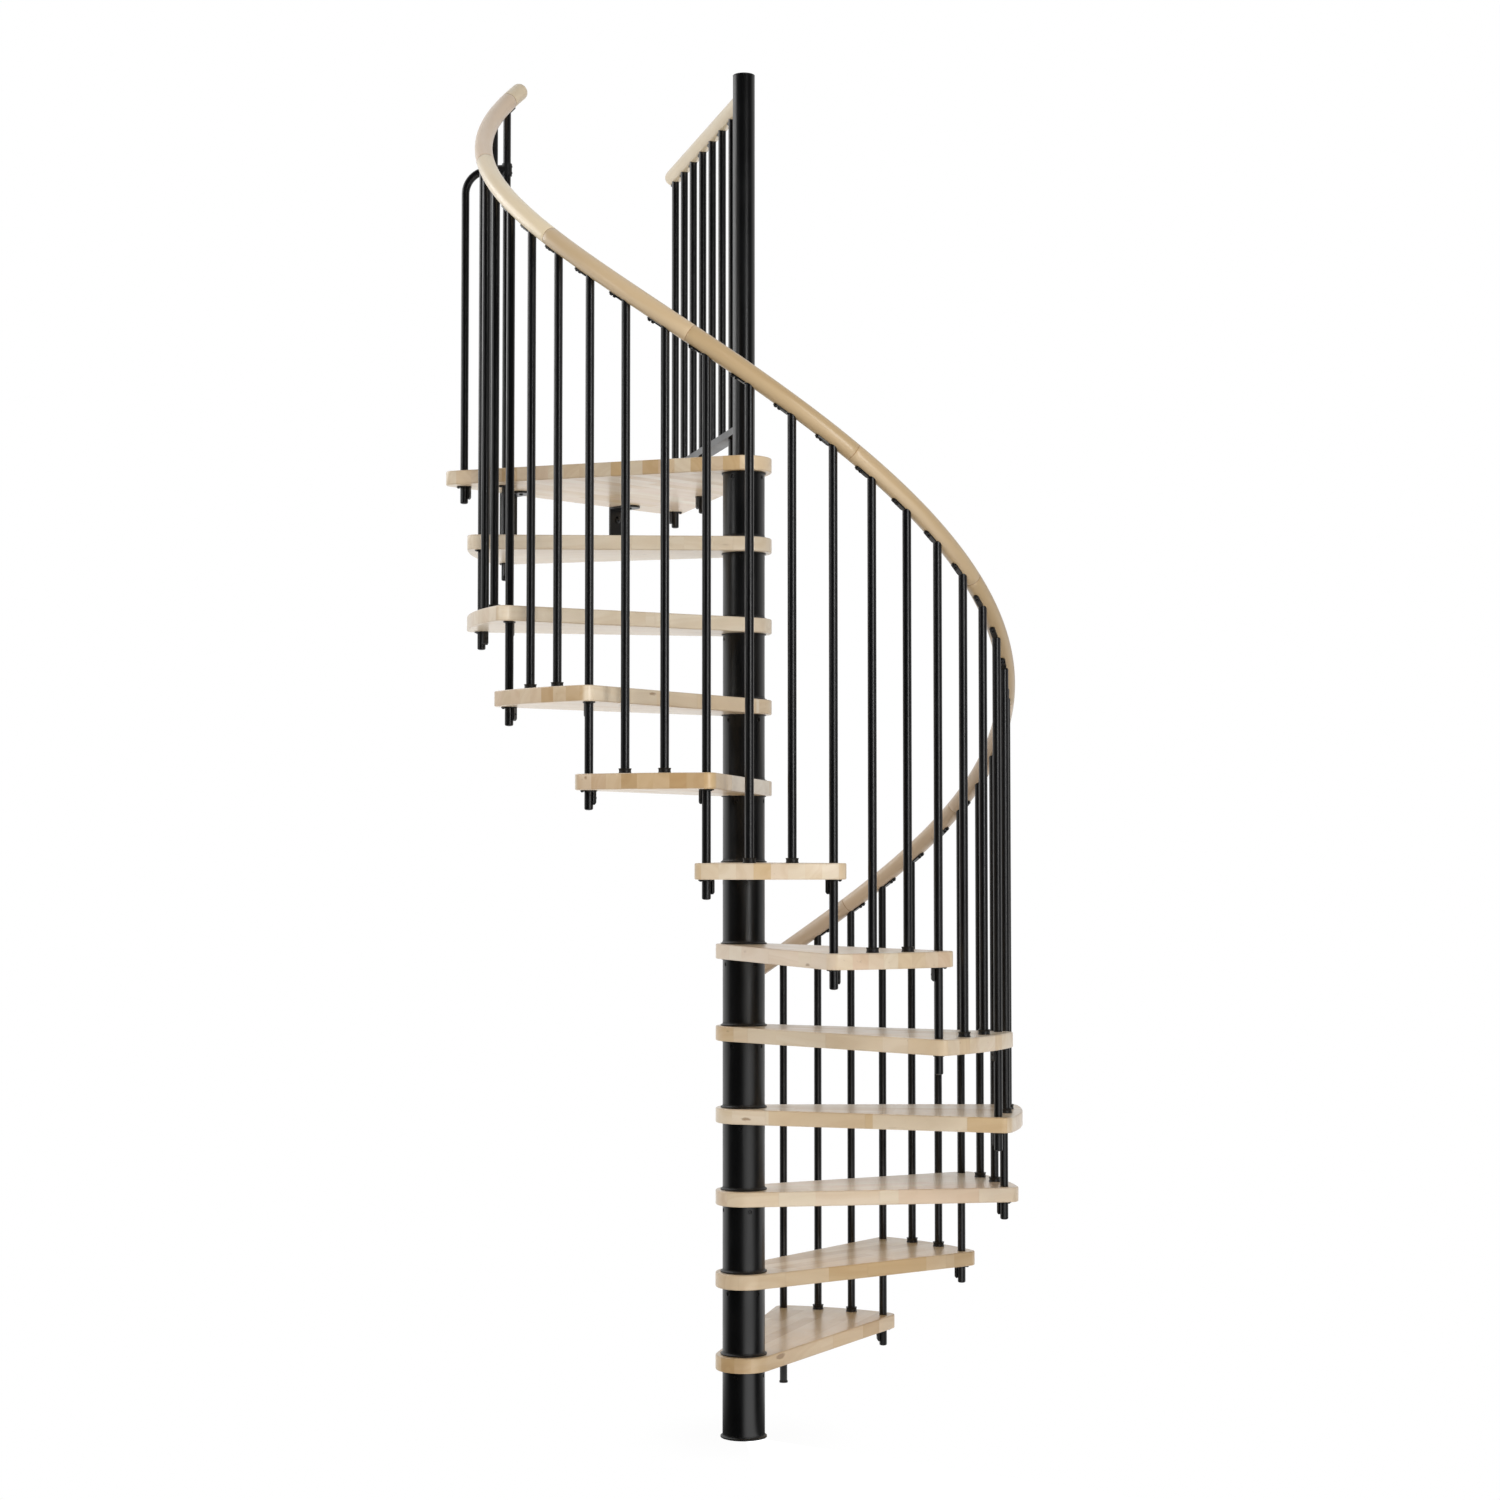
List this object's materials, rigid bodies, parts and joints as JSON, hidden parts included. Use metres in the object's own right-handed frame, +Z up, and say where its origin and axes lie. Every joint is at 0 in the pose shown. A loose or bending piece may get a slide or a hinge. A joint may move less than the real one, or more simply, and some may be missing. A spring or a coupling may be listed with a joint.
{
  "type": "spiral staircase",
  "caption": "Open spiral stair with wooden treads on a black steel pole, black balusters, a helical round wooden handrail and a railed landing",
  "frame": {"origin": "on the floor, on the pole's axis, in the underside of the base flange", "axes": "+Z up along the pole; +Y from the pole to the landing's straight outer edge; +X along that edge"},
  "size_m": [1.4978, 1.5091, 3.7666],
  "materials": {
    "tread_wood": "satin lacquer",
    "rail_wood": "satin lacquer",
    "black_steel": "satin powder coat",
    "black_plastic": "moulded satin"
  },
  "bodies": {
    "root": {"tread_01": "tread_wood", "tread_02": "tread_wood", "tread_03": "tread_wood", "tread_04": "tread_wood", "tread_05": "tread_wood", "tread_06": "tread_wood", "tread_07": "tread_wood", "tread_08": "tread_wood", "tread_09": "tread_wood", "tread_10": "tread_wood", "tread_11": "tread_wood", "landing": "tread_wood", "handrail_01": "rail_wood", "handrail_02": "rail_wood", "handrail_03": "rail_wood", "handrail_04": "rail_wood", "handrail_05": "rail_wood", "handrail_06": "rail_wood", "handrail_07": "rail_wood", "handrail_08": "rail_wood", "handrail_09": "rail_wood", "handrail_10": "rail_wood", "landing_handrail": "rail_wood", "base_plate": "black_steel", "center_pole": "black_steel", "spacer_tubes": "black_steel", "start_post": "black_steel", "long_balusters": "black_steel", "short_balusters": "black_steel", "rail_brackets": "black_steel", "landing_bottom_bar": "black_steel", "landing_balusters": "black_steel", "end_hoop": "black_steel", "landing_brackets": "black_steel", "foot_ring": "black_plastic", "pole_cap": "black_plastic", "spacer_rings": "black_plastic", "spacer_bushes": "black_plastic", "baluster_feet": "black_plastic", "post_clips": "black_plastic", "hoop_clamp": "black_plastic"}
  },
  "joints": []
}
